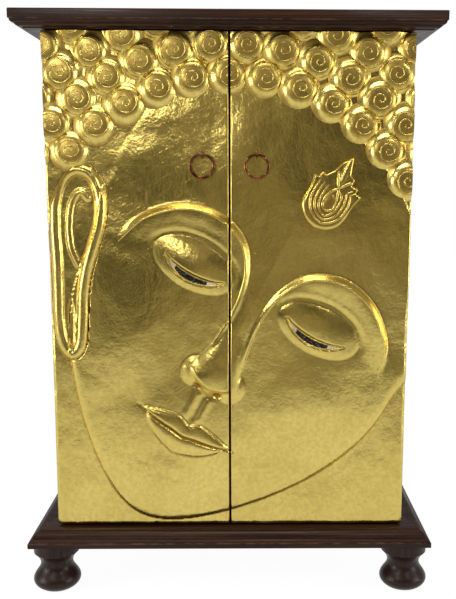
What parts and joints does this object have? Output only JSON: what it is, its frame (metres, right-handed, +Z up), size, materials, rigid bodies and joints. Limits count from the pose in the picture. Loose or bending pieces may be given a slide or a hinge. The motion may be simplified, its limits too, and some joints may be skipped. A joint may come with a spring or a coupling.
{
  "type": "storage cupboard",
  "caption": "Cupboard on turned bun feet with moulded top and plinth, ring pulls, a shelf, and carved gilded doors that swing on butt hinges.",
  "frame": {"origin": "on the floor, under the middle of the cupboard's box, which the top and plinth boards set", "axes": "+Z up; -Y is the front, where the doors are; +X is to the right of someone facing the doors"},
  "size_m": [0.636, 0.3704, 0.9],
  "materials": {
    "dark_wood": "dark stained hardwood, satin lacquer, fine straight grain",
    "gold_leaf": "gold leaf over carved wood, burnished, worn and crackled",
    "plywood": "bare plywood",
    "dowel_wood": "bare beech",
    "shell_inlay": "polished white shell pieces",
    "dark_inlay": "black lacquer with glittering flakes",
    "old_copper": "antique copper, browned, bright on its edges",
    "hinge_steel": "plated steel",
    "catch_plastic": "black moulded plastic",
    "magnet": "plated magnet"
  },
  "bodies": {
    "carcass": {"top_board": "dark_wood", "plinth_board": "dark_wood", "left_side": "dark_wood", "right_side": "dark_wood", "top_rail": "dark_wood", "shelf": "dark_wood", "left_shelf_batten": "dark_wood", "right_shelf_batten": "dark_wood", "front_left_foot": "dark_wood", "front_right_foot": "dark_wood", "back_left_foot": "dark_wood", "back_right_foot": "dark_wood", "back_panel": "plywood", "carcass_dowels": "dowel_wood", "left_upper_hinge_body_leaf": "hinge_steel", "left_upper_hinge_pin": "hinge_steel", "left_lower_hinge_body_leaf": "hinge_steel", "left_lower_hinge_pin": "hinge_steel", "right_upper_hinge_body_leaf": "hinge_steel", "right_upper_hinge_pin": "hinge_steel", "right_lower_hinge_body_leaf": "hinge_steel", "right_lower_hinge_pin": "hinge_steel", "body_hinge_screws": "hinge_steel", "batten_screws": "hinge_steel", "back_panel_nails": "hinge_steel", "catch_screws": "hinge_steel", "left_catch_housing": "catch_plastic", "right_catch_housing": "catch_plastic", "left_catch_magnet": "magnet", "right_catch_magnet": "magnet"},
    "left_door": {"left_door": "gold_leaf", "left_eye_shell": "shell_inlay", "left_eye_pupil": "dark_inlay", "left_pull_eye": "old_copper", "left_door_hinge_screws": "hinge_steel", "left_strike_plate": "hinge_steel", "left_strike_screw": "hinge_steel", "left_upper_hinge_door_leaf": "hinge_steel", "left_lower_hinge_door_leaf": "hinge_steel"},
    "right_door": {"right_door": "gold_leaf", "right_eye_shell": "shell_inlay", "right_eye_pupil": "dark_inlay", "right_pull_eye": "old_copper", "right_door_hinge_screws": "hinge_steel", "right_strike_plate": "hinge_steel", "right_strike_screw": "hinge_steel", "right_upper_hinge_door_leaf": "hinge_steel", "right_lower_hinge_door_leaf": "hinge_steel"},
    "left_pull_ring": {"left_pull_ring": "old_copper"},
    "right_pull_ring": {"right_pull_ring": "old_copper"}
  },
  "joints": [
    {"name": "left_door_swing", "type": "hinge", "parent": "carcass", "child": "left_door", "pos_m": [-0.2758, -0.134, 0.109], "axis": [0, 0, -1], "range_deg": [0, 180]},
    {"name": "right_door_swing", "type": "hinge", "parent": "carcass", "child": "right_door", "pos_m": [0.2758, -0.134, 0.109], "axis": [0, 0, 1], "range_deg": [0, 180]},
    {"name": "left_ring_lift", "type": "hinge", "parent": "left_door", "child": "left_pull_ring", "pos_m": [-0.041, -0.17192, 0.694], "axis": [-1, 0, 0], "range_deg": [0, 150]},
    {"name": "right_ring_lift", "type": "hinge", "parent": "right_door", "child": "right_pull_ring", "pos_m": [0.041, -0.17235, 0.694], "axis": [-1, 0, 0], "range_deg": [0, 150]}
  ]
}
